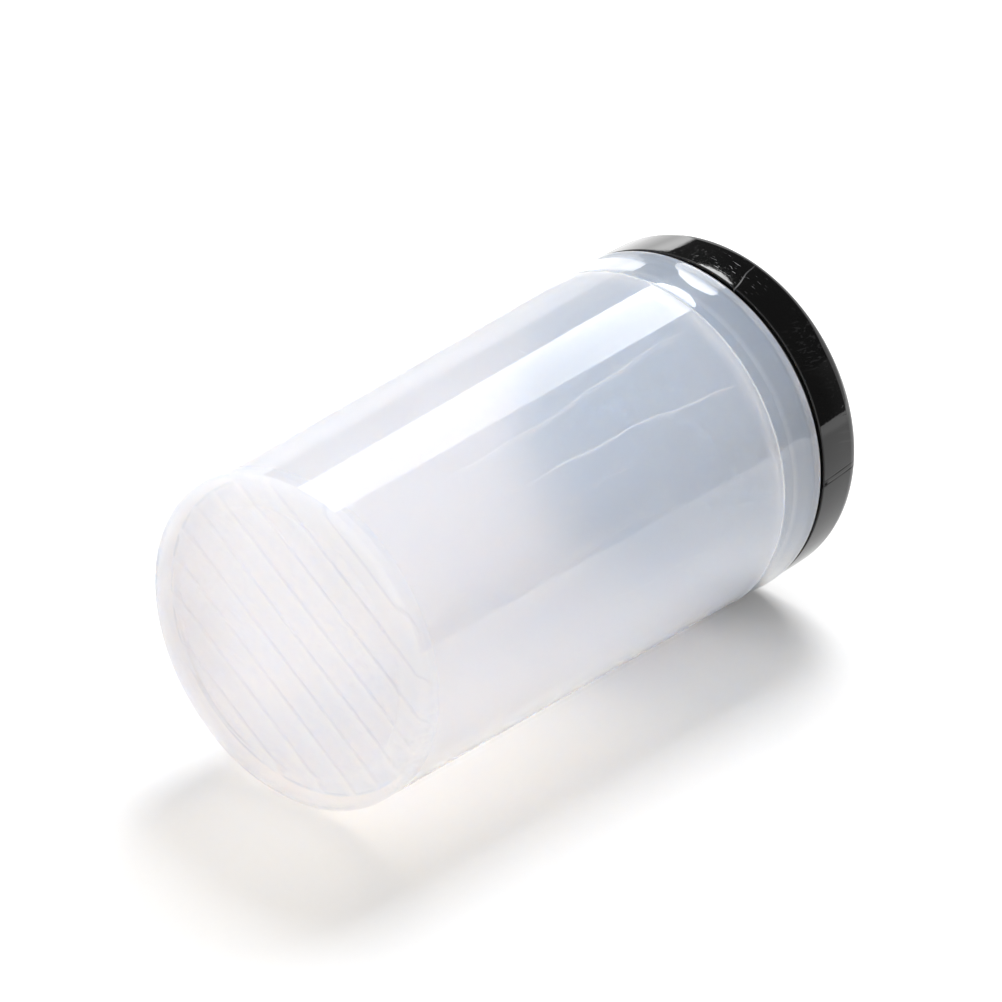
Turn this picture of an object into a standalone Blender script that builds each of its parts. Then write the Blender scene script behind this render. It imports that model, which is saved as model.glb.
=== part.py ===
"""Brush cleaner cup: a milky tapered cup with scrubbing ribs on its floor, closed by a black screw lid.

The cup stands on z = 0 with its axis on +Z. Lengths are in metres.
"""
import math

import bmesh
import bpy
from mathutils import Matrix, Vector

# Cup, outside
CUP_HEIGHT = 0.1250
BASE_RADIUS = 0.0366
RIM_RADIUS = 0.0400
BASE_EDGE = 0.0018
FOOT_WIDTH = 0.0066
FOOT_DEPTH = 0.0008
FOOT_EDGE = 0.0006

# Cup, wall and floor
WALL = 0.0022
FLOOR = 0.0024
INNER_CORNER = 0.0026

# Mouth of the cup
SOCKET_DEPTH = 0.0123
SOCKET_WALL = 0.0021
SOCKET_CORNER = 0.0002
RIM_EDGE = 0.0004
COVE_DEPTH = 0.00015
COVE_BELOW_RIM = 0.0037

# Scrubbing ribs
RIB_PITCH = 0.0074
RIB_WIDTH = 0.0030
RIB_CREST = 0.0012
RIB_HEIGHT = 0.0016
RIB_ROUND = 0.0005

# Lid
LID_HEIGHT = 0.0141
LID_INSET = 0.00025
LID_DRAFT = 0.00025
LID_TOP = 0.0022
LID_EDGE = 0.0040
LID_FOOT_EDGE = 0.0003
LID_GAP = 0.0009
LID_SKIRT = 0.00075
PLUG_WALL = 0.0020
PLUG_DRAFT = 0.0003
PLUG_EDGE = 0.0007
PLUG_CORNER = 0.0015
PLUG_TIP_GAP = 0.0006
THREAD_ROOM = 0.0010

# Gasket
GASKET_THICKNESS = 0.0014
GASKET_EDGE = 0.0003
SEAT_GAP = 0.0003

# Fineness of the round surfaces
ROUND_STEPS = 72
LARGE_FILLET = 0.0012
LARGE_FILLET_STEPS = 5
SMALL_FILLET_STEPS = 2
COVE_STEPS = 5
SHARP_ANGLE = math.radians(35)


def fillet(before, corner, after, radius):
    """Points of an arc of the given radius that rounds one corner of an outline."""
    steps = LARGE_FILLET_STEPS if radius > LARGE_FILLET else SMALL_FILLET_STEPS
    to_before = (before - corner).normalized()
    to_after = (after - corner).normalized()
    half_angle = to_before.angle(to_after) / 2
    reach = radius / math.tan(half_angle)
    centre = corner + (to_before + to_after).normalized() * radius / math.sin(half_angle)
    start = corner + to_before * reach - centre
    end = corner + to_after * reach - centre
    turn = start.angle_signed(end)
    arc = []
    for step in range(steps + 1):
        swing = turn * step / steps
        # angle_signed counts clockwise, so the arc turns the other way round
        x = start.x * math.cos(swing) + start.y * math.sin(swing)
        y = start.y * math.cos(swing) - start.x * math.sin(swing)
        arc.append(centre + Vector((x, y)))
    return arc


def round_corners(corners, closed=False):
    """Turn (radius, height, fillet) corners into outline points, with each corner rounded by its fillet."""
    points = [Vector(corner[:2]) for corner in corners]
    count = len(points)
    outline = []
    for index, corner in enumerate(corners):
        size = corner[2]
        is_end = index in (0, count - 1) and not closed
        if size == 0 or is_end:
            outline.append(points[index])
        else:
            before = points[index - 1]
            after = points[(index + 1) % count]
            outline += fillet(before, points[index], after, size)
    return outline


def material(name, colour, roughness, transmission=0.0):
    """A plain plastic or rubber."""
    made = bpy.data.materials.new(name)
    made.use_nodes = True
    shader = made.node_tree.nodes["Principled BSDF"]
    shader.inputs["Base Color"].default_value = (*colour, 1)
    shader.inputs["Roughness"].default_value = roughness
    shader.inputs["Metallic"].default_value = 0
    shader.inputs["Transmission Weight"].default_value = transmission
    made.diffuse_color = (*colour, 1)
    return made


def add_object(name, shape, finish=None):
    """Make a named object from a bmesh, with its faces pointing out and its round sides smooth."""
    bmesh.ops.remove_doubles(shape, verts=shape.verts, dist=1e-7)
    bmesh.ops.recalc_face_normals(shape, faces=shape.faces)
    mesh = bpy.data.meshes.new(name)
    shape.to_mesh(mesh)
    shape.free()
    mesh.shade_smooth()
    mesh.set_sharp_from_angle(angle=SHARP_ANGLE)
    if finish:
        mesh.materials.append(finish)
    made = bpy.data.objects.new(name, mesh)
    bpy.context.scene.collection.objects.link(made)
    return made


def revolve(name, outline, finish=None, closed=False):
    """Turn an outline of (radius, height) points about the Z axis."""
    shape = bmesh.new()
    points = [shape.verts.new((point.x, 0, point.y)) for point in outline]
    edges = [shape.edges.new(pair) for pair in zip(points, points[1:])]
    if closed:
        edges.append(shape.edges.new((points[-1], points[0])))
    bmesh.ops.spin(shape, geom=points + edges, cent=(0, 0, 0), axis=(0, 0, 1),
                   angle=math.tau, steps=ROUND_STEPS, use_merge=True)
    return add_object(name, shape, finish)


def make_guide(shape):
    """Keep a tool shape in the file without counting it as a piece of the object."""
    shape.hide_render = True
    shape.display_type = "WIRE"


def combine(target, tool, operation):
    """Join, cut or trim one object by another, and leave the step on the object."""
    step = target.modifiers.new(f"{operation.lower()} {tool.name}", "BOOLEAN")
    step.operation = operation
    step.solver = "EXACT"
    step.object = tool


def wall_radius(height):
    """Outside radius of the cup's straight tapered wall."""
    return BASE_RADIUS + (RIM_RADIUS - BASE_RADIUS) * height / CUP_HEIGHT


def cove_points():
    """The shallow hollow round the outside of the mouth, from the socket's floor up to near the rim."""
    start = CUP_HEIGHT - SOCKET_DEPTH
    deepest = CUP_HEIGHT - COVE_BELOW_RIM
    end = CUP_HEIGHT - RIM_EDGE
    rows = [start + (deepest - start) * step / COVE_STEPS for step in range(COVE_STEPS)]
    rows += [deepest + (end - deepest) * step / COVE_STEPS for step in range(COVE_STEPS)]
    points = []
    for height in rows:
        far_end = start if height < deepest else end
        share = (height - far_end) / (deepest - far_end)
        depth = COVE_DEPTH * (1 - math.cos(math.pi * share)) / 2
        points.append((wall_radius(height) - depth, height, 0))
    return points


def make_rib_field():
    """Parallel scrubbing ribs, trimmed to a circle that ends inside the cup's wall."""
    reach = wall_radius(FLOOR) - WALL / 2
    count_each_side = int((wall_radius(FLOOR) - WALL - RIB_WIDTH / 2) / RIB_PITCH)
    root = FLOOR / 2
    crest = FLOOR + RIB_HEIGHT
    section = round_corners([
        (-RIB_WIDTH / 2, root, 0),
        (-RIB_WIDTH / 2, FLOOR, 0),
        (-RIB_CREST / 2, crest, RIB_ROUND),
        (RIB_CREST / 2, crest, RIB_ROUND),
        (RIB_WIDTH / 2, FLOOR, 0),
        (RIB_WIDTH / 2, root, 0),
    ], closed=True)
    shape = bmesh.new()
    for number in range(-count_each_side, count_each_side + 1):
        middle = number * RIB_PITCH
        end_points = [shape.verts.new((-reach, middle + point.x, point.y)) for point in section]
        end_face = shape.faces.new(end_points)
        drawn = bmesh.ops.extrude_face_region(shape, geom=[end_face])
        far_points = [item for item in drawn["geom"] if isinstance(item, bmesh.types.BMVert)]
        bmesh.ops.translate(shape, verts=far_points, vec=(2 * reach, 0, 0))
    ribs = add_object("rib_field", shape)
    limit = revolve("rib_limit", [
        Vector((0, root / 2)),
        Vector((reach, root / 2)),
        Vector((reach, crest * 2)),
        Vector((0, crest * 2)),
    ])
    combine(ribs, limit, "INTERSECT")
    make_guide(limit)
    make_guide(ribs)
    return ribs


def make_cup():
    """The cup: foot ring, tapered wall, socket for the lid's plug, and ribs on the floor."""
    socket_floor = CUP_HEIGHT - SOCKET_DEPTH
    socket_radius = RIM_RADIUS - SOCKET_WALL
    foot_radius = BASE_RADIUS - FOOT_WIDTH
    outline = round_corners([
        (0, FOOT_DEPTH, 0),
        (foot_radius - FOOT_DEPTH, FOOT_DEPTH, FOOT_EDGE),
        (foot_radius, 0, FOOT_EDGE),
        (BASE_RADIUS, 0, BASE_EDGE),
        *cove_points(),
        (RIM_RADIUS, CUP_HEIGHT, RIM_EDGE),
        (socket_radius, CUP_HEIGHT, RIM_EDGE),
        (socket_radius, socket_floor, SOCKET_CORNER),
        (wall_radius(socket_floor) - WALL, socket_floor, SOCKET_CORNER),
        (wall_radius(FLOOR) - WALL, FLOOR, INNER_CORNER),
        (0, FLOOR, 0),
    ])
    milky = material("milky_polypropylene", (0.80, 0.83, 0.87), 0.22, transmission=0.6)
    cup = revolve("cup", outline, milky)
    combine(cup, make_rib_field(), "UNION")
    return cup


def make_lid(screw_axis):
    """The lid, drawn from the rim's plane: drum, gasket groove and hollow plug."""
    drum_radius = RIM_RADIUS - LID_INSET
    top = LID_GAP + LID_HEIGHT
    plug_radius = RIM_RADIUS - SOCKET_WALL - THREAD_ROOM
    plug_tip = PLUG_TIP_GAP - SOCKET_DEPTH
    groove_top = 2 * SEAT_GAP + GASKET_THICKNESS
    outline = round_corners([
        (0, top, 0),
        (drum_radius - LID_DRAFT, top, LID_EDGE),
        (drum_radius, LID_GAP, LID_FOOT_EDGE),
        (drum_radius - LID_SKIRT, LID_GAP, 0),
        (drum_radius - LID_SKIRT, groove_top, 0),
        (plug_radius, groove_top, 0),
        (plug_radius, plug_tip, PLUG_EDGE),
        (plug_radius - PLUG_WALL, plug_tip, PLUG_EDGE),
        (plug_radius - PLUG_WALL - PLUG_DRAFT, top - LID_TOP, PLUG_CORNER),
        (0, top - LID_TOP, 0),
    ])
    black = material("glossy_black_plastic", (0.012, 0.012, 0.013), 0.08)
    lid = revolve("lid", outline, black)
    lid.parent = screw_axis
    return lid


def make_gasket(screw_axis):
    """The ring in the lid's groove, which the lid presses on the rim."""
    outer = RIM_RADIUS - LID_INSET - LID_SKIRT - SEAT_GAP
    inner = RIM_RADIUS - SOCKET_WALL - THREAD_ROOM + SEAT_GAP
    low = SEAT_GAP
    high = SEAT_GAP + GASKET_THICKNESS
    outline = round_corners([
        (inner, low, GASKET_EDGE),
        (outer, low, GASKET_EDGE),
        (outer, high, GASKET_EDGE),
        (inner, high, GASKET_EDGE),
    ], closed=True)
    rubber = material("black_rubber", (0.015, 0.015, 0.016), 0.6)
    gasket = revolve("lid_gasket", outline, rubber, closed=True)
    gasket.parent = screw_axis
    return gasket


def add_screw_axis():
    """The line that the lid turns about and rises along, marked at the rim's plane."""
    axis = bpy.data.objects.new("screw_axis", None)
    axis.matrix_world = Matrix.Translation((0, 0, CUP_HEIGHT))
    bpy.context.scene.collection.objects.link(axis)
    return axis


for leftover in list(bpy.data.objects):
    bpy.data.objects.remove(leftover)

make_cup()
lid_axis = add_screw_axis()
make_lid(lid_axis)
make_gasket(lid_axis)
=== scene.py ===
import math

import bmesh
import bpy
from mathutils import Matrix, Vector


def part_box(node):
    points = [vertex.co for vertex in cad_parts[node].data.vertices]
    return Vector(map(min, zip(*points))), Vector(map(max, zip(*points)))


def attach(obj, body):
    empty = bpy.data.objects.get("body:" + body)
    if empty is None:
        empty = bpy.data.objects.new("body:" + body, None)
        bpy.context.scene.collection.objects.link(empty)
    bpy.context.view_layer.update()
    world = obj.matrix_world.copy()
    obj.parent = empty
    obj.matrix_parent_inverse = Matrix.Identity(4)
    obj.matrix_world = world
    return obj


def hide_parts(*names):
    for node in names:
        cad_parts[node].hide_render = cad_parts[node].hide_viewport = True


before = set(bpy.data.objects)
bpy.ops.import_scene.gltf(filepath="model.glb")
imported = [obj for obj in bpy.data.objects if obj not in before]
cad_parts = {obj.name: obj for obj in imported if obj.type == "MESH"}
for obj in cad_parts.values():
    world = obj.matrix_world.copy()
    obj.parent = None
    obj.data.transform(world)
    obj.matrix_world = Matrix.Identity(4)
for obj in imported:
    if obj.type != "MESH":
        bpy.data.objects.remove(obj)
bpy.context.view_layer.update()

# Camera. The closed cup lies on its side on a white table with its base towards the camera. All places round
# it are given in the table's own directions: up from the table, along it from base to lid, and across it.
cup_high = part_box("cup")[1]
CUP_HEIGHT = cup_high.z
RIM_RADIUS = cup_high.x
BASE_RADIUS = 0.0366
TOUCHING_SIDE = math.radians(50.9)

cup_axis = Vector((0, 0, 1))
away_from_table = -Vector((math.cos(TOUCHING_SIDE), math.sin(TOUCHING_SIDE), 0))
taper = math.atan2(RIM_RADIUS - BASE_RADIUS, CUP_HEIGHT)
table_up = away_from_table * math.cos(taper) + cup_axis * math.sin(taper)
table_along = cup_axis * math.cos(taper) - away_from_table * math.sin(taper)
table_across = cup_axis.cross(away_from_table)


def from_table(up, along, across):
    """A direction or a step given in the table's own directions."""
    return table_up * up + table_along * along + table_across * across


def facing(back, top):
    """A turn whose local Z points along back and whose local Y leans to top."""
    side = top.cross(back).normalized()
    return Matrix((side, back.cross(side), back)).transposed().to_quaternion()


CAMERA_ELEVATION = math.radians(26.33)
CAMERA_SWING = math.radians(40.11)
CAMERA_DISTANCE = 1.0
CAMERA_AIM = away_from_table * 0.0251 + table_across * 0.0250 + cup_axis * 0.0379
FOCAL_PIXELS = 5000
FRAME_PIXELS = 1002
SENSOR_WIDTH = 36
NEAREST_SEEN = 0.05
FARTHEST_SEEN = 20

looking = from_table(
    -math.sin(CAMERA_ELEVATION),
    math.cos(CAMERA_ELEVATION) * math.cos(CAMERA_SWING),
    -math.cos(CAMERA_ELEVATION) * math.sin(CAMERA_SWING),
)
camera_data = bpy.data.cameras.new("camera")
camera_data.sensor_width = SENSOR_WIDTH
camera_data.lens = SENSOR_WIDTH * FOCAL_PIXELS / FRAME_PIXELS
camera_data.clip_start = NEAREST_SEEN
camera_data.clip_end = FARTHEST_SEEN
camera = bpy.data.objects.new("camera", camera_data)
camera.rotation_mode = "QUATERNION"
camera.rotation_quaternion = facing(-looking, table_up)
camera.location = CAMERA_AIM - looking * CAMERA_DISTANCE
bpy.context.scene.collection.objects.link(camera)
bpy.context.scene.camera = camera
bpy.context.scene.view_settings.view_transform = "Standard"

# Table and light. A white table top runs under the cup's side. One area lamp lights the cup and another the
# table. A softbox beyond the cup shows in reflections only, as do the backdrop and the rest of the room.
TABLE_SIZE = 0.9
TABLE_WHITE = 0.88
TABLE_LIFT = 0.09
TABLE_FAR_LIFT = 0.3
TABLE_EDGE_GLOSS = 0.4
TABLE_MIDDLE = (0.0, -0.08, 0.0)
TABLE_NEAR = 0.095
TABLE_FAR = 0.17
TABLE_EDGE_START = 0.336
TABLE_EDGE = 0.42
PANEL_CORNER_STEPS = 8
touching_point = -away_from_table * RIM_RADIUS + cup_axis * CUP_HEIGHT


def add_node(tree, kind, settings=None, **inputs):
    """Add a node, choose its settings, and fill its inputs with numbers or with other nodes' outputs."""
    made = tree.nodes.new("ShaderNode" + kind)
    for name, value in (settings or {}).items():
        setattr(made, name, value)
    for name, value in inputs.items():
        socket = made.inputs[int(name[1:]) if name[1:].isdigit() else name.replace("_", " ")]
        if isinstance(value, bpy.types.NodeSocket):
            tree.links.new(value, socket)
        else:
            socket.default_value = value
    return made


def sum_of(tree, operation, *values):
    """The result of one step of arithmetic on numbers or outputs."""
    numbered = {"n" + str(place): value for place, value in enumerate(values)}
    return add_node(tree, "Math", {"operation": operation}, **numbered).outputs["Value"]


def rising(tree, value, start, end):
    """A mask that grows smoothly from 0 to 1 between two values."""
    mask = add_node(tree, "MapRange", {"interpolation_type": "SMOOTHSTEP"}, Value=value,
                    From_Min=start, From_Max=end)
    return mask.outputs["Result"]


def blended(tree, share, before, after):
    """A number that goes from before to after by a share."""
    return add_node(tree, "MapRange", Value=share, To_Min=before, To_Max=after).outputs["Result"]


def empty_material(name):
    """A material with no nodes yet, and its node tree."""
    made = bpy.data.materials.new(name)
    made.use_nodes = True
    made.node_tree.nodes.clear()
    return made, made.node_tree


def flat_panel(name, centre, back, top, width, height, corner=0.0, narrowing=0.0):
    """A flat panel with round corners that faces along back and narrows to its top."""
    outline = []
    for turn in range(4):
        middle = Vector((width / 2 - corner, height / 2 - corner))
        signs = ((1, 1), (-1, 1), (-1, -1), (1, -1))[turn]
        for step in range(PANEL_CORNER_STEPS + 1 if corner else 1):
            angle = math.radians(90) * (turn + step / PANEL_CORNER_STEPS)
            along = middle.y * signs[1] + corner * math.sin(angle)
            across = middle.x * signs[0] + corner * math.cos(angle)
            outline.append((across * (1 - narrowing * along / height), along, 0))
    mesh = bpy.data.meshes.new(name)
    mesh.from_pydata(outline, [], [range(len(outline))])
    panel = bpy.data.objects.new(name, mesh)
    panel.rotation_mode = "QUATERNION"
    panel.rotation_quaternion = facing(back, top)
    panel.location = centre
    bpy.context.scene.collection.objects.link(panel)
    return panel


def table_material():
    """Matt white, lifted for the eye, brighter at its far edge in reflections, and clear from below."""
    made, tree = empty_material("table_white")
    matt = add_node(tree, "BsdfDiffuse", Color=(TABLE_WHITE, TABLE_WHITE, TABLE_WHITE, 1))
    place = add_node(tree, "TexCoord").outputs["Object"]
    apart = add_node(tree, "VectorMath", {"operation": "DISTANCE"}, n0=place, n1=TABLE_MIDDLE)
    distance = apart.outputs["Value"]
    away = rising(tree, distance, TABLE_NEAR, TABLE_FAR)
    rays = add_node(tree, "LightPath").outputs
    lift = sum_of(tree, "MULTIPLY_ADD", away, TABLE_FAR_LIFT, TABLE_LIFT)
    lift = sum_of(tree, "MULTIPLY", rays["Is Camera Ray"], lift)
    gloss = sum_of(tree, "MULTIPLY", rising(tree, distance, TABLE_EDGE_START, TABLE_EDGE), TABLE_EDGE_GLOSS)
    gloss = sum_of(tree, "MULTIPLY", rays["Is Glossy Ray"], gloss)
    glow = add_node(tree, "Emission", Strength=sum_of(tree, "ADD", lift, gloss))
    both = add_node(tree, "AddShader", n0=matt.outputs["BSDF"], n1=glow.outputs["Emission"])
    clear = add_node(tree, "BsdfTransparent")
    below = add_node(tree, "NewGeometry").outputs["Backfacing"]
    choice = add_node(tree, "MixShader", Fac=below, n1=both.outputs["Shader"], n2=clear.outputs["BSDF"])
    add_node(tree, "OutputMaterial", Surface=choice.outputs["Shader"])
    return made


table = flat_panel("table", touching_point, table_up, table_along, TABLE_SIZE, TABLE_SIZE)
table.data.materials.append(table_material())

SOFTBOX_DIRECTION = from_table(0.70, 0.64, -0.28).normalized()
SOFTBOX_DISTANCE = 1.0
SOFTBOX_SHIFT = -0.087
SOFTBOX_SIDESTEP = 0.015
SOFTBOX_WIDTH = 0.45
SOFTBOX_LENGTH = 0.32
SOFTBOX_CORNER = 0.055
SOFTBOX_NARROWING = 0.16
SOFTBOX_NEAR_POWER = 2.3
SOFTBOX_FAR_POWER = 10.0
SOFTBOX_FALL = 5.0


def softbox_material():
    """The softbox's cloth, brighter towards its far end, where its bulb hangs."""
    made, tree = empty_material("softbox_cloth")
    place = add_node(tree, "TexCoord").outputs["Object"]
    along = add_node(tree, "SeparateXYZ", Vector=place).outputs["Y"]
    share = add_node(tree, "MapRange", Value=along, From_Min=-SOFTBOX_LENGTH / 2,
                     From_Max=SOFTBOX_LENGTH / 2)
    share = sum_of(tree, "POWER", share.outputs["Result"], SOFTBOX_FALL)
    power = blended(tree, share, SOFTBOX_NEAR_POWER, SOFTBOX_FAR_POWER)
    glow = add_node(tree, "Emission", Color=(1, 1, 1, 1), Strength=power)
    add_node(tree, "OutputMaterial", Surface=glow.outputs["Emission"])
    return made


lengthwise = (table_along - SOFTBOX_DIRECTION * table_along.dot(SOFTBOX_DIRECTION)).normalized()
softbox_place = cup_axis * CUP_HEIGHT / 2 + SOFTBOX_DIRECTION * SOFTBOX_DISTANCE
softbox_place += lengthwise * SOFTBOX_SHIFT + lengthwise.cross(SOFTBOX_DIRECTION) * SOFTBOX_SIDESTEP
softbox = flat_panel("softbox", softbox_place, -SOFTBOX_DIRECTION, table_along, SOFTBOX_WIDTH,
                     SOFTBOX_LENGTH, SOFTBOX_CORNER, SOFTBOX_NARROWING)
softbox.data.materials.append(softbox_material())
for seen_by in ("camera", "diffuse", "transmission", "volume_scatter", "shadow"):
    setattr(softbox, "visible_" + seen_by, False)

# Each lamp's name, direction, distance, size and watts. The first leaves out the table, and the second
# lights the table alone.
LAMPS = (
    ("cup_lamp", (0.863, 0.447, -0.235), 1.2, 0.42, 7.0, "EXCLUDE"),
    ("table_lamp", (0.863, 0.600, -0.285), 2.4, 1.10, 48.0, "INCLUDE"),
)

for name, direction, distance, size, watts, table_state in LAMPS:
    lamp_data = bpy.data.lights.new(name, "AREA")
    lamp_data.size = size
    lamp_data.energy = watts
    towards = from_table(*direction).normalized()
    lamp = bpy.data.objects.new(name, lamp_data)
    lamp.rotation_mode = "QUATERNION"
    lamp.rotation_quaternion = facing(towards, table_along)
    lamp.location = cup_axis * CUP_HEIGHT / 2 + towards * distance
    lamp.visible_camera = False
    lamp.visible_glossy = False
    lamp.visible_transmission = False
    bpy.context.scene.collection.objects.link(lamp)
    receivers = bpy.data.collections.new("lit_by_" + name)
    receivers.objects.link(table)
    receivers.collection_objects[0].light_linking.link_state = table_state
    lamp.light_linking.receiver_collection = receivers

# The room in reflections: a backdrop and a brighter reflector low behind the lid, dim above them, and pale
# at the front. Each span gives the two cosines between which a share grows.
BACKDROP_TOP = math.sin(math.radians(18.6))
BACKDROP_BLUR = 0.01
BACKDROP_MIDDLE = from_table(0, 1, -0.6).normalized()
BACKDROP_SPAN = (0.25, 0.55)
REFLECTOR_TOP = math.sin(math.radians(21))
REFLECTOR_BLUR = 0.005
REFLECTOR_SIDE_SPAN = (0.60, 0.63)
REFLECTOR_END_SPAN = (0.686, 0.694)
REFLECTOR_GROWTH_SPAN = (0.15, 0.31)
FRONT_SPAN = (-0.60, -0.40)
TOP_SPAN = (0.25, 0.85)
REFLECTOR_LOW_LEVEL = 1.8
REFLECTOR_HIGH_LEVEL = 3.0
BACKDROP_LEVEL = 0.85
ROOM_LEVEL = 0.07
FRONT_LEVEL = 0.96
TOP_LEVEL = 0.66

world = bpy.data.worlds.new("studio")
bpy.context.scene.world = world
world.use_nodes = True
world.cycles.sampling_method = "NONE"
tree = world.node_tree
tree.nodes.clear()
ray = add_node(tree, "TexCoord").outputs["Generated"]


def share_towards(direction, start, end):
    """A share that grows from 0 to 1 as a ray turns towards a direction, between two cosines."""
    turned = add_node(tree, "VectorMath", {"operation": "DOT_PRODUCT"}, n0=ray, n1=direction)
    return rising(tree, turned.outputs["Value"], start, end)


low = share_towards(table_up, BACKDROP_TOP + BACKDROP_BLUR, BACKDROP_TOP - BACKDROP_BLUR)
backdrop_level = blended(tree, low, ROOM_LEVEL, BACKDROP_LEVEL)
back_level = blended(tree, share_towards(BACKDROP_MIDDLE, *BACKDROP_SPAN), ROOM_LEVEL, backdrop_level)
below_edge = share_towards(table_up, REFLECTOR_TOP + REFLECTOR_BLUR, REFLECTOR_TOP - REFLECTOR_BLUR)
beside = share_towards(-table_across, *REFLECTOR_SIDE_SPAN)
behind = share_towards(table_along, *REFLECTOR_END_SPAN)
on_reflector = sum_of(tree, "MULTIPLY", sum_of(tree, "MULTIPLY", below_edge, beside), behind)
upwards = share_towards(table_up, *REFLECTOR_GROWTH_SPAN)
reflector_level = blended(tree, upwards, REFLECTOR_LOW_LEVEL, REFLECTOR_HIGH_LEVEL)
back_level = blended(tree, on_reflector, back_level, reflector_level)
front_level = blended(tree, share_towards(table_up, *TOP_SPAN), FRONT_LEVEL, TOP_LEVEL)
room_level = blended(tree, share_towards(-table_along, *FRONT_SPAN), back_level, front_level)
room = add_node(tree, "Background", Color=(1, 1, 1, 1), Strength=room_level)
white = add_node(tree, "Background", Color=(1, 1, 1, 1), Strength=1.0)
seen = add_node(tree, "LightPath").outputs["Is Camera Ray"]
shown = add_node(tree, "MixShader", Fac=seen, n1=room.outputs["Background"], n2=white.outputs["Background"])
add_node(tree, "OutputWorld", Surface=shown.outputs["Shader"])

# Cup. One injection moulding of milky polypropylene: a tapered wall, a foot ring, scrubbing ribs on the
# floor, and a wider socket with an inside thread at the mouth. It has a glossy skin and a cloudy fill.
WALL = 0.0022
FLOOR = 0.0024
BASE_EDGE = 0.0011
FOOT_RADIUS = 0.0300
FOOT_DEPTH = 0.0008
FOOT_EDGE = 0.0006
INNER_CORNER = 0.0026
SOCKET_DEPTH = 0.0123
SOCKET_WALL = 0.0021
SOCKET_CORNER = 0.0002
RIM_EDGE = 0.0004
COVE_DEPTH = 0.00015
COVE_BELOW_RIM = 0.0037
COVE_STEPS = 12
CREASE_DEPTH = 0.00012
CREASE_WIDTH = 0.0005
TURN_STEPS = 192
FILLET_STEPS = 8
RIB_PITCH = 0.0074
RIB_WIDTH = 0.0030
RIB_CREST = 0.0012
RIB_HEIGHT = 0.0016
RIB_ROUND = 0.0005


def fillet(before, corner, after, radius):
    """Points of an arc that rounds one corner of an outline."""
    to_before = (before - corner).normalized()
    to_after = (after - corner).normalized()
    half_angle = to_before.angle(to_after) / 2
    reach = radius / math.tan(half_angle)
    centre = corner + (to_before + to_after).normalized() * radius / math.sin(half_angle)
    start = corner + to_before * reach - centre
    turn = start.angle_signed(corner + to_after * reach - centre)
    arc = []
    for step in range(FILLET_STEPS + 1):
        swing = Matrix.Rotation(-turn * step / FILLET_STEPS, 2)
        arc.append(centre + swing @ start)
    return arc


def round_corners(corners, closed=False):
    """Turn (radius, height, fillet) corners into outline points, each corner rounded by its fillet."""
    points = [Vector(corner[:2]) for corner in corners]
    count = len(points)
    outline = []
    for index, corner in enumerate(corners):
        is_end = index in (0, count - 1) and not closed
        if corner[2] == 0 or is_end:
            outline.append(points[index])
        else:
            outline += fillet(points[index - 1], points[index], points[(index + 1) % count], corner[2])
    return outline


def object_from(name, shape):
    """Link a finished shape as an object, its faces pointing out."""
    bmesh.ops.remove_doubles(shape, verts=shape.verts, dist=1e-7)
    bmesh.ops.recalc_face_normals(shape, faces=shape.faces)
    mesh = bpy.data.meshes.new(name)
    shape.to_mesh(mesh)
    shape.free()
    made = bpy.data.objects.new(name, mesh)
    bpy.context.scene.collection.objects.link(made)
    return made


def turn_outline(name, outline, closed=False):
    """Turn an outline of (radius, height) points about the cup's axis."""
    shape = bmesh.new()
    points = [shape.verts.new((point.x, 0, point.y)) for point in outline]
    edges = [shape.edges.new(pair) for pair in zip(points, points[1:])]
    if closed:
        edges.append(shape.edges.new((points[-1], points[0])))
    bmesh.ops.spin(shape, geom=points + edges, cent=(0, 0, 0), axis=(0, 0, 1),
                   angle=math.tau, steps=TURN_STEPS, use_merge=True)
    return object_from(name, shape)


def merge(target, tool, operation):
    """Join or trim one object by another, apply it, and remove the tool."""
    step = target.modifiers.new("merge", "BOOLEAN")
    step.operation = operation
    step.object = tool
    done = bpy.data.meshes.new_from_object(target.evaluated_get(bpy.context.evaluated_depsgraph_get()))
    target.modifiers.clear()
    target.data = done
    bpy.data.objects.remove(tool)


def smooth(piece, sharp=math.radians(40)):
    """Shade round sides smooth and keep flat faces flat."""
    piece.data.shade_smooth()
    piece.data.set_sharp_from_angle(angle=sharp)
    flats = piece.modifiers.new("flat faces", "WEIGHTED_NORMAL")
    flats.keep_sharp = True


def wall_radius(height):
    """Outside radius of the tapered wall."""
    return BASE_RADIUS + (RIM_RADIUS - BASE_RADIUS) * height / CUP_HEIGHT


def cove_points():
    """The shallow hollow round the outside of the mouth."""
    start = CUP_HEIGHT - SOCKET_DEPTH
    deepest = CUP_HEIGHT - COVE_BELOW_RIM
    end = CUP_HEIGHT - RIM_EDGE
    rows = [start + (deepest - start) * step / COVE_STEPS for step in range(COVE_STEPS)]
    rows += [deepest + (end - deepest) * step / COVE_STEPS for step in range(COVE_STEPS)]
    points = [
        (wall_radius(start - CREASE_WIDTH), start - CREASE_WIDTH, 0),
        (wall_radius(start) - CREASE_DEPTH, start - CREASE_WIDTH / 2, 0),
    ]
    for height in rows:
        far_end = start if height < deepest else end
        share = (height - far_end) / (deepest - far_end)
        depth = COVE_DEPTH * (1 - math.cos(math.pi * share)) / 2
        points.append((wall_radius(height) - depth, height, 0))
    return points


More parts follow.
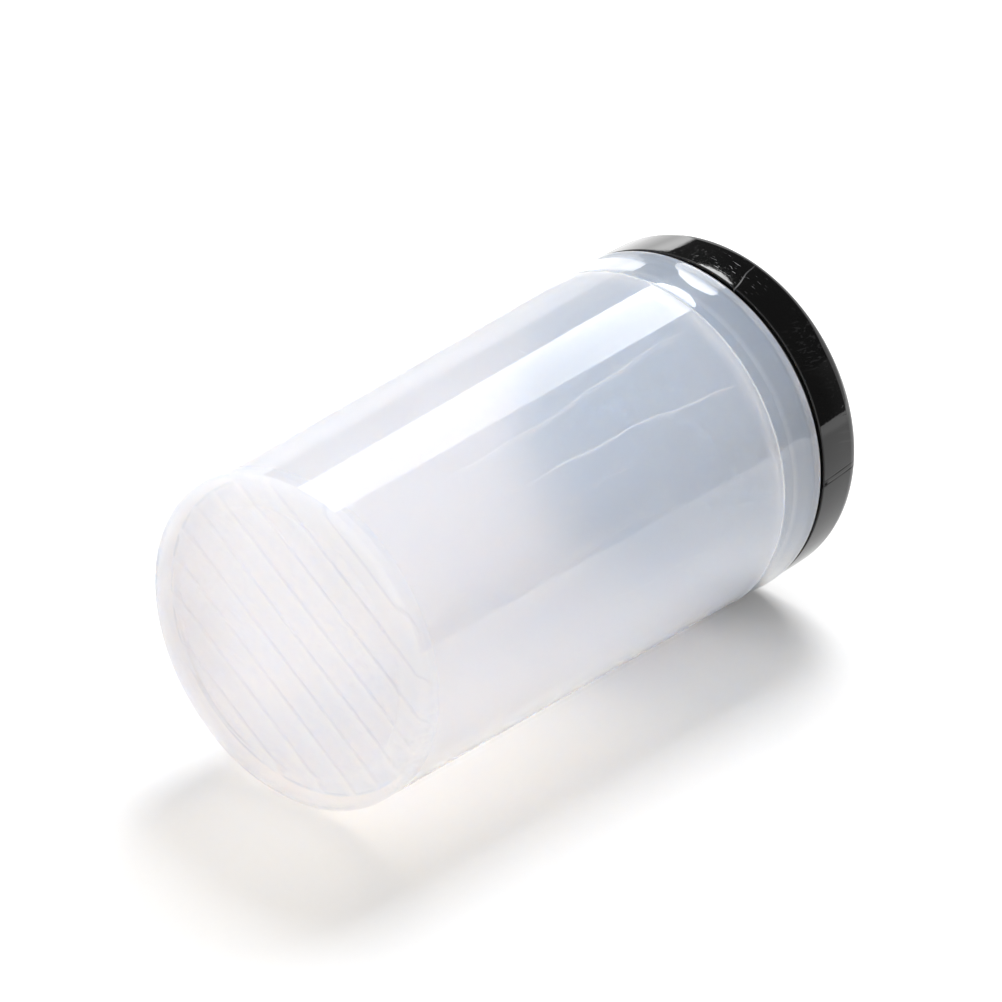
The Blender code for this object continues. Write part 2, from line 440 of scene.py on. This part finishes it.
def rib_field():
    """Straight round-topped ribs over the whole floor, ending inside the wall."""
    reach = wall_radius(FLOOR) - WALL / 2
    count_each_side = int((wall_radius(FLOOR) - WALL - RIB_WIDTH / 2) / RIB_PITCH)
    root = FLOOR / 2
    crest = FLOOR + RIB_HEIGHT
    section = round_corners([
        (-RIB_WIDTH / 2, root, 0),
        (-RIB_WIDTH / 2, FLOOR, 0),
        (-RIB_CREST / 2, crest, RIB_ROUND),
        (RIB_CREST / 2, crest, RIB_ROUND),
        (RIB_WIDTH / 2, FLOOR, 0),
        (RIB_WIDTH / 2, root, 0),
    ], closed=True)
    shape = bmesh.new()
    for number in range(-count_each_side, count_each_side + 1):
        middle = number * RIB_PITCH
        end_points = [shape.verts.new((-reach, middle + point.x, point.y)) for point in section]
        drawn = bmesh.ops.extrude_face_region(shape, geom=[shape.faces.new(end_points)])
        far_points = [item for item in drawn["geom"] if isinstance(item, bmesh.types.BMVert)]
        bmesh.ops.translate(shape, verts=far_points, vec=(2 * reach, 0, 0))
    ribs = object_from("ribs", shape)
    limit = turn_outline("rib_limit", [
        Vector((0, root / 2)),
        Vector((reach, root / 2)),
        Vector((reach, crest * 2)),
        Vector((0, crest * 2)),
    ])
    merge(ribs, limit, "INTERSECT")
    return ribs


THREAD_PITCH = 0.0040
THREAD_TURNS = 1.6
THREAD_HEIGHT = 0.0007
THREAD_ROOT = 0.0018
THREAD_CREST = 0.0007
THREAD_BURIED = 0.0010
THREAD_STEPS = 96
THREAD_FADE_STEPS = 12
THREAD_START = 0.0022


def thread_ridge(name, root_radius, outward, start_height):
    """A screw ridge that fades out at both ends. Outward is 1 on a plug and -1 in a socket."""
    shape = bmesh.new()
    count = int(THREAD_TURNS * THREAD_STEPS)
    rows = []
    for step in range(count + 1):
        turn = math.tau * step / THREAD_STEPS
        middle = start_height + THREAD_PITCH * step / THREAD_STEPS
        fade = min(1, step / THREAD_FADE_STEPS, (count - step) / THREAD_FADE_STEPS)
        crest_radius = root_radius + outward * THREAD_HEIGHT * (2 * fade - 1 if fade < 1 else 1)
        buried_radius = root_radius - outward * THREAD_BURIED
        rows.append([
            shape.verts.new((radius * math.cos(turn), radius * math.sin(turn), middle + lift))
            for radius, lift in (
                (buried_radius, -THREAD_ROOT / 2),
                (root_radius, -THREAD_ROOT / 2),
                (crest_radius, -THREAD_CREST / 2),
                (crest_radius, THREAD_CREST / 2),
                (root_radius, THREAD_ROOT / 2),
                (buried_radius, THREAD_ROOT / 2),
            )
        ])
    for row, following in zip(rows, rows[1:]):
        for place in range(6):
            shape.faces.new((row[place], row[(place + 1) % 6], following[(place + 1) % 6], following[place]))
    shape.faces.new(rows[0])
    shape.faces.new(reversed(rows[-1]))
    return object_from(name, shape)


MILK_COLOUR = (0.64, 0.78, 1.0, 1)
MILK_DENSITY = 500

socket_floor = CUP_HEIGHT - SOCKET_DEPTH
socket_radius = RIM_RADIUS - SOCKET_WALL
cup = turn_outline("cup_shell", round_corners([
    (0, FOOT_DEPTH, 0),
    (FOOT_RADIUS - FOOT_DEPTH, FOOT_DEPTH, FOOT_EDGE),
    (FOOT_RADIUS, 0, FOOT_EDGE),
    (BASE_RADIUS, 0, BASE_EDGE),
    *cove_points(),
    (RIM_RADIUS, CUP_HEIGHT, RIM_EDGE),
    (socket_radius, CUP_HEIGHT, RIM_EDGE),
    (socket_radius, socket_floor, SOCKET_CORNER),
    (wall_radius(socket_floor) - WALL, socket_floor, SOCKET_CORNER),
    (wall_radius(FLOOR) - WALL, FLOOR, INNER_CORNER),
    (0, FLOOR, 0),
]))
merge(cup, rib_field(), "UNION")
merge(cup, thread_ridge("socket_thread", socket_radius, -1, socket_floor + THREAD_START), "UNION")
smooth(cup)


def start_group(name, inputs, outputs):
    """A node group with named number inputs and named outputs, ready to be filled."""
    group = bpy.data.node_groups.new(name, "ShaderNodeTree")
    for socket, usual in inputs.items():
        entry = group.interface.new_socket(socket, in_out="INPUT", socket_type="NodeSocketFloat")
        entry.default_value = usual
    for socket in outputs:
        group.interface.new_socket(socket, in_out="OUTPUT", socket_type="NodeSocketFloat")
    return group, group.nodes.new("NodeGroupInput").outputs


def end_group(group, **results):
    """Lead the results out of a node group."""
    leaving = group.nodes.new("NodeGroupOutput")
    for socket, value in results.items():
        group.links.new(value, leaving.inputs[socket.replace("_", " ")])


def use_group(tree, group, **inputs):
    """Place a node group in a material and give its outputs."""
    return add_node(tree, "Group", {"node_tree": group}, **inputs).outputs


def narrow(tree, value, middle, half_width):
    """A mask that is 1 where a value meets a middle and fades to 0 at a half width from it."""
    apart = sum_of(tree, "ABSOLUTE", sum_of(tree, "SUBTRACT", value, middle))
    return rising(tree, apart, half_width, 0.0)


def strongest(tree, masks):
    """The strongest of several masks at each point."""
    mask = masks[0]
    for other in masks[1:]:
        mask = sum_of(tree, "MAXIMUM", mask, other)
    return mask


def weighed(tree, pairs):
    """The strongest of several masks at each point, each weighed by its own share."""
    return strongest(tree, [sum_of(tree, "MULTIPLY", mask, share) for mask, share in pairs])


def mixed(tree, share, before, after):
    """A colour that goes from before to after by a share."""
    return add_node(tree, "MixRGB", Fac=share, Color1=before, Color2=after).outputs["Color"]


def noise(tree, place, scale, detail=2.0, roughness=0.5, stretch=(1, 1, 1)):
    """Smooth random values over the piece, stretched along its own directions."""
    scaled = add_node(tree, "Mapping", Vector=place, Scale=stretch).outputs["Vector"]
    made = add_node(tree, "TexNoise", Vector=scaled, Scale=scale, Detail=detail, Roughness=roughness)
    return made.outputs["Fac"]


def place_round(tree):
    """The X, Y and Z of a place on the piece, and its degrees round the piece's axis."""
    place = add_node(tree, "TexCoord").outputs["Object"]
    part = add_node(tree, "SeparateXYZ", Vector=place).outputs
    return part, sum_of(tree, "DEGREES", sum_of(tree, "ARCTAN2", part["Y"], part["X"]))


FLOW_WAVES = ((95.0, 0.28), (270.0, 0.14), (760.0, 0.05))
FLOW_FADE = 0.006
FLOW_UNEVENNESS = 0.25
RING_WAVES = (310.0, 170.0)


def flow_line_group():
    """A thin wavering line that runs along the piece at one angle, between two heights."""
    group, given = start_group(
        "flow_line",
        {"Angle": 0, "Drift": 0, "Waver": 2, "Bottom": 0, "Top": 0.1, "Width": 0.4},
        ("Line",),
    )
    part, angle = place_round(group)
    above = sum_of(group, "SUBTRACT", part["Z"], given["Bottom"])
    swing = None
    for waves, share in FLOW_WAVES:
        start = sum_of(group, "MULTIPLY", given["Angle"], waves)
        phase = sum_of(group, "MULTIPLY_ADD", part["Z"], waves, start)
        wave = sum_of(group, "MULTIPLY", sum_of(group, "SINE", phase), share)
        swing = wave if swing is None else sum_of(group, "ADD", swing, wave)
    middle = sum_of(group, "MULTIPLY_ADD", given["Drift"], above, given["Angle"])
    middle = sum_of(group, "MULTIPLY_ADD", swing, given["Waver"], middle)
    turned = sum_of(group, "WRAP", sum_of(group, "SUBTRACT", angle, middle), 180, -180)
    line = narrow(group, turned, 0.0, given["Width"])
    below = sum_of(group, "SUBTRACT", given["Top"], part["Z"])
    inside = sum_of(group, "MULTIPLY", rising(group, above, 0.0, FLOW_FADE),
                    rising(group, below, 0.0, FLOW_FADE))
    ripple = sum_of(group, "SINE", phase)
    uneven = sum_of(group, "MULTIPLY_ADD", ripple, FLOW_UNEVENNESS, 1 - FLOW_UNEVENNESS)
    end_group(group, Line=sum_of(group, "MULTIPLY", sum_of(group, "MULTIPLY", line, inside), uneven))
    return group


def ring_line_group():
    """A line round the piece at one height, uneven in strength."""
    group, given = start_group("ring_line", {"Height": 0, "Width": 0.0003, "Unevenness": 0.3}, ("Line",))
    place = add_node(group, "TexCoord").outputs["Object"]
    part = add_node(group, "SeparateXYZ", Vector=place).outputs
    line = narrow(group, part["Z"], given["Height"], given["Width"])
    phase = sum_of(group, "MULTIPLY", part["Y"], RING_WAVES[1])
    phase = sum_of(group, "MULTIPLY_ADD", part["X"], RING_WAVES[0], phase)
    ripple = sum_of(group, "MULTIPLY_ADD", sum_of(group, "SINE", phase), 0.5, 0.5)
    fade = sum_of(group, "MULTIPLY", ripple, given["Unevenness"])
    end_group(group, Line=sum_of(group, "MULTIPLY", line, sum_of(group, "SUBTRACT", 1.0, fade)))
    return group


HAZE_FINENESS = 38.0
SKIN_FINENESS = 1400.0
SPECK_FINENESS = 420.0
SPECK_EDGE = (0.075, 0.03)
SPECK_RARITY = (0.90, 0.92)
SCRATCH_AXIS = (0.6, 0.5, 0.4)
SCRATCH_WAYS = ((0.5, (1.0, 1.0, 0.03)), (2.1, (0.03, 1.0, 1.0)))
SCRATCH_EDGE = (0.68, 0.74)
SCRATCHED_HAZE = (0.48, 0.60)


def handled_surface_group():
    """What handling leaves on moulded plastic: fine scratches, specks of dust, and a soft uneven haze."""
    group, given = start_group(
        "handled_surface",
        {"Scratch Spacing": 0.01, "Scratch Share": 0.5, "Speck Share": 0.5},
        ("Scratch", "Speck", "Haze", "Skin"),
    )
    place = add_node(group, "TexCoord").outputs["Object"]
    finest = sum_of(group, "DIVIDE", 1.0, given["Scratch Spacing"])
    haze = noise(group, place, HAZE_FINENESS, 2.0, 0.6)
    scratches = []
    for turn, stretch in SCRATCH_WAYS:
        turned = add_node(group, "VectorRotate", {"rotation_type": "AXIS_ANGLE"}, Vector=place,
                          Axis=SCRATCH_AXIS, Angle=turn).outputs["Vector"]
        scratches.append(rising(group, noise(group, turned, finest, 0.0, 0.5, stretch), *SCRATCH_EDGE))
    scratch = sum_of(group, "MULTIPLY", strongest(group, scratches), rising(group, haze, *SCRATCHED_HAZE))
    specks = add_node(group, "TexVoronoi", {"feature": "F1"}, Vector=place, Scale=SPECK_FINENESS).outputs
    near = rising(group, specks["Distance"], *SPECK_EDGE)
    chance = add_node(group, "SeparateColor", Color=specks["Color"]).outputs["Red"]
    rare = rising(group, chance, *SPECK_RARITY)
    skin = noise(group, place, SKIN_FINENESS, 1.0, 0.55)
    end_group(
        group,
        Scratch=sum_of(group, "MULTIPLY", scratch, given["Scratch Share"]),
        Speck=sum_of(group, "MULTIPLY", sum_of(group, "MULTIPLY", near, rare), given["Speck Share"]),
        Haze=haze,
        Skin=skin,
    )
    return group


flow_line = flow_line_group()
ring_line = ring_line_group()
handled_surface = handled_surface_group()

# The first line is a painted reflection of the highlight's lower edge on the inner wall; the rest are flow
# lines.
# Each line's angle, drift, waver, bottom, top, width and strength.
FLOW_AND_REFLECTION_LINES = (
    (262, -50, 2.5, 0.026, 0.1105, 0.60, 1.0),
    (272, 90, 3.0, 0.018, 0.1105, 0.60, 1.0),
    (286, -30, 5.0, 0.048, 0.078, 0.45, 0.6),
    (303.5, 0, 4.0, 0.030, 0.082, 0.50, 0.7),
    (322.5, 10, 4.0, 0.052, 0.090, 0.50, 0.8),
    (12, -40, 6.0, 0.022, 0.104, 0.60, 0.8),
    (48, 60, 5.0, 0.040, 0.1105, 0.50, 0.7),
    (95, -30, 6.0, 0.016, 0.080, 0.60, 0.8),
    (176, -50, 6.0, 0.030, 0.098, 0.60, 0.8),
)
BASE_ROUGHNESS = 0.27
WALL_ROUGHNESS = 0.44
MOUTH_ROUGHNESS = 0.16
HAZE_ROUGHNESS = 0.06
WALL_START = (0.004, 0.009)
MOUTH_BLEND = 0.0006
MILK_TINTS = ((0.958, 0.950, 0.972, 1), (0.972, 0.961, 0.978, 1))
# Painted shade: a greyer band just under the rim, where the dark plug shows through the wall.
MOUTH_PAINTED_SHADE = (0.76, 0.76, 0.78, 1)
MOUTH_PAINTED_SHADE_BELOW_RIM = 0.0018
MOUTH_PAINTED_SHADE_HEIGHT = 0.0014
# Painted shade: a greyer tint on one side of the foot's edge.
FOOT_PAINTED_SHADE = (0.80, 0.79, 0.82, 1)
FOOT_PAINTED_SHADE_HEIGHT = 0.0030
FOOT_PAINTED_SHADE_START = (0.008, 0.030)
# What a shadow ray keeps at each surface. It is over 1, to make up for what the fill takes from it.
SHADOW_TINT = (1.175, 1.225, 1.29, 1)
WHITENED = (0.94, 0.94, 0.95, 1)
# The crease line is whitened plastic and also a painted highlight, for the light that the crease catches.
CREASE_WHITENING_AND_HIGHLIGHT = 0.75
RIM_WHITENING = 0.55
HALO_WHITENING = 0.22
FLOW_AND_REFLECTION_WHITENING = 0.50
DENT_WHITENING = 0.80
SCRATCH_WHITENING = 0.06
SPECK_WHITENING = 0.35
HALO_START = (0.0036, 0.0010)
HALO_END = (0.0004, 0.0008)
SKIN_RELIEF = 0.3
HAZE_RELIEF = 4.0
FLOW_RELIEF = 1.6
# Each dent's angle, height, half angle and half height.
DENTS = (
    (-125.5, 0.0720, 2.6, 0.0004),
    (-61.5, 0.0774, 0.5, 0.0007),
)


def milky_material():
    """Milky polypropylene: a scattering fill behind a softly rough skin, under a clear polished coat.

    Worn and bent places turn white. The crease line is partly a painted highlight and the first flow line a
    painted reflection. The rim and one side of the foot are greyer with painted shade.
    """
    made, tree = empty_material("milky_polypropylene")
    part, angle = place_round(tree)
    height = part["Z"]
    worn = use_group(tree, handled_surface, Scratch_Spacing=0.0011, Scratch_Share=0.6, Speck_Share=0.8)
    # Pale flow lines, the first of them a painted reflection.
    lines = []
    for turn, drift, waver, bottom, top, width, strength in FLOW_AND_REFLECTION_LINES:
        line = use_group(tree, flow_line, Angle=turn, Drift=drift, Waver=waver, Bottom=bottom, Top=top,
                         Width=width)
        lines.append((line["Line"], strength))
    lines = weighed(tree, lines)
    crease_height = socket_floor - CREASE_WIDTH / 2
    # The crease's pale line: whitening and a painted highlight.
    crease = use_group(tree, ring_line, Height=crease_height, Width=0.00055, Unevenness=0.15)["Line"]
    rim_line = use_group(tree, ring_line, Height=CUP_HEIGHT, Width=0.0006, Unevenness=0.2)["Line"]
    below_socket = sum_of(tree, "SUBTRACT", socket_floor, height)
    halo = sum_of(tree, "MULTIPLY", rising(tree, below_socket, *HALO_START),
                  rising(tree, below_socket, *HALO_END))
    dents = strongest(tree, [
        sum_of(tree, "MULTIPLY", narrow(tree, angle, middle, half_angle),
               narrow(tree, height, level, half_height))
        for middle, level, half_angle, half_height in DENTS
    ])
    whitening = weighed(tree, (
        (crease, CREASE_WHITENING_AND_HIGHLIGHT),
        (rim_line, RIM_WHITENING),
        (halo, HALO_WHITENING),
        (lines, FLOW_AND_REFLECTION_WHITENING),
        (dents, DENT_WHITENING),
        (worn["Scratch"], SCRATCH_WHITENING),
        (worn["Speck"], SPECK_WHITENING),
    ))

    on_wall = rising(tree, height, *WALL_START)
    roughness = blended(tree, on_wall, BASE_ROUGHNESS, WALL_ROUGHNESS)
    at_mouth = rising(tree, height, socket_floor - MOUTH_BLEND, socket_floor)
    roughness = blended(tree, at_mouth, roughness, MOUTH_ROUGHNESS)
    uneven = sum_of(tree, "MULTIPLY", sum_of(tree, "SUBTRACT", worn["Haze"], 0.5), on_wall)
    roughness = sum_of(tree, "MULTIPLY_ADD", uneven, HAZE_ROUGHNESS, roughness)

    # Painted shade: a greyer band under the rim, for the dark plug seen through the wall.
    painted_shade_at_rim = narrow(tree, height, CUP_HEIGHT - MOUTH_PAINTED_SHADE_BELOW_RIM, MOUTH_PAINTED_SHADE_HEIGHT)
    # Painted shade: one side of the foot's edge is tinted greyer.
    aside = sum_of(tree, "MULTIPLY", part["Y"], -table_across.y)
    aside = sum_of(tree, "MULTIPLY_ADD", part["X"], -table_across.x, aside)
    painted_shade_at_foot = sum_of(tree, "MULTIPLY", narrow(tree, height, 0.0, FOOT_PAINTED_SHADE_HEIGHT),
                     rising(tree, aside, *FOOT_PAINTED_SHADE_START))
    tint = mixed(tree, worn["Haze"], *MILK_TINTS)
    tint = mixed(tree, painted_shade_at_rim, tint, MOUTH_PAINTED_SHADE)
    tint = mixed(tree, painted_shade_at_foot, tint, FOOT_PAINTED_SHADE)

    relief = sum_of(tree, "MULTIPLY", worn["Haze"], HAZE_RELIEF)
    relief = sum_of(tree, "MULTIPLY_ADD", worn["Skin"], SKIN_RELIEF, relief)
    relief = sum_of(tree, "MULTIPLY_ADD", lines, FLOW_RELIEF, relief)
    bump = add_node(tree, "Bump", Height=relief, Strength=0.25, Distance=0.00005)

    skin = add_node(tree, "BsdfPrincipled", Base_Color=tint, Roughness=roughness, IOR=1.15,
                    Coat_Weight=1.0, Coat_Roughness=0.02, Coat_IOR=1.5, Transmission_Weight=1.0,
                    Normal=bump.outputs["Normal"])
    white = add_node(tree, "BsdfDiffuse", Color=WHITENED)
    both = add_node(tree, "MixShader", Fac=whitening, n1=skin.outputs["BSDF"], n2=white.outputs["BSDF"])
    clear = add_node(tree, "BsdfTransparent", Color=SHADOW_TINT)
    shade = add_node(tree, "LightPath").outputs["Is Shadow Ray"]
    surface = add_node(tree, "MixShader", Fac=shade, n1=both.outputs["Shader"], n2=clear.outputs["BSDF"])
    fill = add_node(tree, "VolumeScatter", Color=MILK_COLOUR, Density=MILK_DENSITY, Anisotropy=0.0)
    add_node(tree, "OutputMaterial", Surface=surface.outputs["Shader"], Volume=fill.outputs["Volume"])
    return made


# With fewer bounces the milky wall turns grey.
cycles = bpy.context.scene.cycles
cycles.blur_glossy = 0
cycles.diffuse_bounces = 8
cycles.glossy_bounces = 32
cycles.transmission_bounces = 64
cycles.volume_bounces = 64
cycles.max_bounces = 64
cup.data.materials.clear()
cup.data.materials.append(milky_material())
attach(cup, "cup")
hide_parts("cup")

# Lid. One glossy black moulding: a drum on the line of the cup's wall with a round top edge, a groove for
# the gasket under it, and a hollow threaded plug that goes down into the socket.
lid_low, lid_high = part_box("lid")
LID_TOP = 0.0022
LID_EDGE = 0.0040
LID_FOOT_EDGE = 0.0003
LID_FOOT_INSET = 0.00032
LID_FLARE = math.tan(math.radians(1.2))
LID_BARREL = 0.20
LID_BARREL_STEPS = 6
LID_GAP = 0.0015
LID_SKIRT = 0.00075
PLUG_WALL = 0.0020
PLUG_DRAFT = 0.0003
PLUG_EDGE = 0.0007
PLUG_CORNER = 0.0015
THREAD_ROOM = 0.0010
GASKET_THICKNESS = 0.0014
SEAT_GAP = 0.0003
SEAM_ANGLE = 325.0
SEAM_SPACING = 1.6
SEAM_RELIEF = -6.0
SEAM_BLACKNESS = 0.85
NICK_ANGLE = -35.0
NICK_HEIGHT = 0.1273
NICK_HALF_HEIGHT = 0.0011
NICK_HALF_ANGLE = 1.3
STREAK_ANGLE = 256.5
STREAK_SHARE = 0.5
RUB_ANGLE = -111
RUB_HALF_ANGLE = 14.0
RUB_HEIGHT = 0.131
RUB_HALF_HEIGHT = 0.008
RUB_STRETCH = 0.00012
RUB_FINENESS = 2600
RUB_EDGE = (0.655, 0.72)
RUB_SHARE = 0.7
DUST_SHARE = 0.35
SCRATCH_SHARE = 0.04
LID_ROUGHNESS = 0.02
LID_HAZE_ROUGHNESS = 0.05
MARK_ROUGHNESS = 0.4
LID_SKIN_RELIEF = 0.25
LID_SCRATCH_RELIEF = -0.6
LID_HAZE_RELIEF = 1.2
BLACKS = ((0.002, 0.002, 0.002, 1), (0.005, 0.005, 0.005, 1))
RUBBED_GREY = (0.32, 0.32, 0.33, 1)
GROOVE_BLACK = (0.003, 0.003, 0.003, 1)
drum_radius = RIM_RADIUS - LID_FOOT_INSET
drum_foot = CUP_HEIGHT + LID_GAP
plug_radius = socket_radius - THREAD_ROOM
groove_top = CUP_HEIGHT + 2 * SEAT_GAP + GASKET_THICKNESS


def drum_bulge(height):
    """The slightly barrelled side of the lid's drum, from its foot to where its round top edge starts."""
    above = height - drum_foot
    return drum_radius + LID_FLARE * above - above ** 2 / (2 * LID_BARREL)


barrel_top = lid_high.z - LID_EDGE
barrel_row = (drum_foot - barrel_top) / LID_BARREL_STEPS
barrel_rows = [barrel_top + barrel_row * step for step in range(LID_BARREL_STEPS)]
top_slope = LID_FLARE - (barrel_top - drum_foot) / LID_BARREL
lid = turn_outline("lid_shell", round_corners([
    (0, lid_high.z, 0),
    (drum_bulge(barrel_top) + top_slope * LID_EDGE, lid_high.z, LID_EDGE),
    *((drum_bulge(height), height, 0) for height in barrel_rows),
    (drum_radius, drum_foot, LID_FOOT_EDGE),
    (drum_radius - LID_SKIRT, drum_foot, 0),
    (drum_radius - LID_SKIRT, groove_top, 0),
    (plug_radius, groove_top, 0),
    (plug_radius, lid_low.z, PLUG_EDGE),
    (plug_radius - PLUG_WALL, lid_low.z, PLUG_EDGE),
    (plug_radius - PLUG_WALL - PLUG_DRAFT, lid_high.z - LID_TOP, PLUG_CORNER),
    (0, lid_high.z - LID_TOP, 0),
]))
plug_thread_start = socket_floor + THREAD_START + THREAD_PITCH / 2
merge(lid, thread_ridge("plug_thread", plug_radius, 1, plug_thread_start), "UNION")
smooth(lid)


def black_material():
    """Polished black moulding with a double seam, a rubbed patch, a pale streak, fine scratches and dust."""
    made, tree = empty_material("polished_black")
    worn = use_group(tree, handled_surface, Scratch_Spacing=0.0005, Scratch_Share=1.0, Speck_Share=1.0)
    part, angle = place_round(tree)
    seam = strongest(tree, [
        use_group(tree, flow_line, Angle=SEAM_ANGLE + shift, Drift=-110, Waver=0.4, Bottom=0.115, Top=0.150,
                  Width=0.42)["Line"]
        for shift in (0.0, SEAM_SPACING)
    ])
    nick = sum_of(tree, "MULTIPLY", narrow(tree, angle, NICK_ANGLE, NICK_HALF_ANGLE),
                  narrow(tree, part["Z"], NICK_HEIGHT, NICK_HALF_HEIGHT))
    cut = sum_of(tree, "MAXIMUM", sum_of(tree, "MULTIPLY", seam, SEAM_BLACKNESS), nick)
    streak = use_group(tree, flow_line, Angle=STREAK_ANGLE, Drift=-570, Waver=5.0, Bottom=0.1215, Top=0.1385,
                       Width=0.4)["Line"]
    round_place = add_node(tree, "CombineXYZ", X=sum_of(tree, "MULTIPLY", angle, RUB_STRETCH), Y=part["Z"])
    rubs = rising(tree, noise(tree, round_place.outputs["Vector"], RUB_FINENESS, 1.0), *RUB_EDGE)
    rub_zone = sum_of(tree, "MULTIPLY", narrow(tree, angle, RUB_ANGLE, RUB_HALF_ANGLE),
                      narrow(tree, part["Z"], RUB_HEIGHT, RUB_HALF_HEIGHT))
    marks = weighed(tree, (
        (sum_of(tree, "MULTIPLY", rub_zone, rubs), RUB_SHARE),
        (streak, STREAK_SHARE),
        (worn["Speck"], DUST_SHARE),
        (worn["Scratch"], SCRATCH_SHARE),
    ))
    colour = mixed(tree, marks, mixed(tree, worn["Haze"], *BLACKS), RUBBED_GREY)
    roughness = sum_of(tree, "MULTIPLY_ADD", worn["Haze"], LID_HAZE_ROUGHNESS, LID_ROUGHNESS)
    roughness = sum_of(tree, "MULTIPLY_ADD", marks, MARK_ROUGHNESS, roughness)
    relief = sum_of(tree, "MULTIPLY", worn["Skin"], LID_SKIN_RELIEF)
    relief = sum_of(tree, "MULTIPLY_ADD", seam, SEAM_RELIEF, relief)
    relief = sum_of(tree, "MULTIPLY_ADD", worn["Scratch"], LID_SCRATCH_RELIEF, relief)
    relief = sum_of(tree, "MULTIPLY_ADD", worn["Haze"], LID_HAZE_RELIEF, relief)
    bump = add_node(tree, "Bump", Height=relief, Strength=0.4, Distance=0.00003)
    gloss = add_node(tree, "BsdfPrincipled", Base_Color=colour, Roughness=roughness, IOR=1.5,
                     Normal=bump.outputs["Normal"])
    groove = add_node(tree, "BsdfDiffuse", Color=GROOVE_BLACK)
    surface = add_node(tree, "MixShader", Fac=cut, n1=gloss.outputs["BSDF"], n2=groove.outputs["BSDF"])
    add_node(tree, "OutputMaterial", Surface=surface.outputs["Shader"])
    return made


lid.data.materials.append(black_material())
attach(lid, "lid")
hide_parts("lid")

# Gasket. A black rubber ring in the lid's groove, over the cup's rim. It closes the thin dark gap that shows
# between the rim and the lid.
gasket_low, gasket_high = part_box("lid_gasket")
GASKET_EDGE = 0.0003
RUBBER_BLACKS = ((0.010, 0.010, 0.011, 1), (0.020, 0.020, 0.021, 1))
DUST_GREY = (0.12, 0.12, 0.12, 1)
RUBBER_ROUGHNESS = 0.5
RUBBER_HAZE_ROUGHNESS = 0.25
gasket_outer = gasket_high.x
gasket_inner = plug_radius + SEAT_GAP
gasket = turn_outline("gasket_ring", round_corners([
    (gasket_inner, gasket_low.z, GASKET_EDGE),
    (gasket_outer, gasket_low.z, GASKET_EDGE),
    (gasket_outer, gasket_high.z, GASKET_EDGE),
    (gasket_inner, gasket_high.z, GASKET_EDGE),
], closed=True), closed=True)
smooth(gasket)


def rubber_material():
    """Matt black rubber with a fine grain and paler dust in it."""
    made, tree = empty_material("black_rubber")
    worn = use_group(tree, handled_surface, Scratch_Spacing=0.0008, Scratch_Share=0.5, Speck_Share=1.0)
    colour = mixed(tree, worn["Speck"], mixed(tree, worn["Haze"], *RUBBER_BLACKS), DUST_GREY)
    roughness = sum_of(tree, "MULTIPLY_ADD", worn["Haze"], RUBBER_HAZE_ROUGHNESS, RUBBER_ROUGHNESS)
    relief = sum_of(tree, "ADD", worn["Skin"], worn["Scratch"])
    bump = add_node(tree, "Bump", Height=relief, Strength=0.5, Distance=0.00003)
    matt = add_node(tree, "BsdfPrincipled", Base_Color=colour, Roughness=roughness,
                    Normal=bump.outputs["Normal"])
    add_node(tree, "OutputMaterial", Surface=matt.outputs["BSDF"])
    return made


gasket.data.materials.append(rubber_material())
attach(gasket, "seal")
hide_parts("lid_gasket")
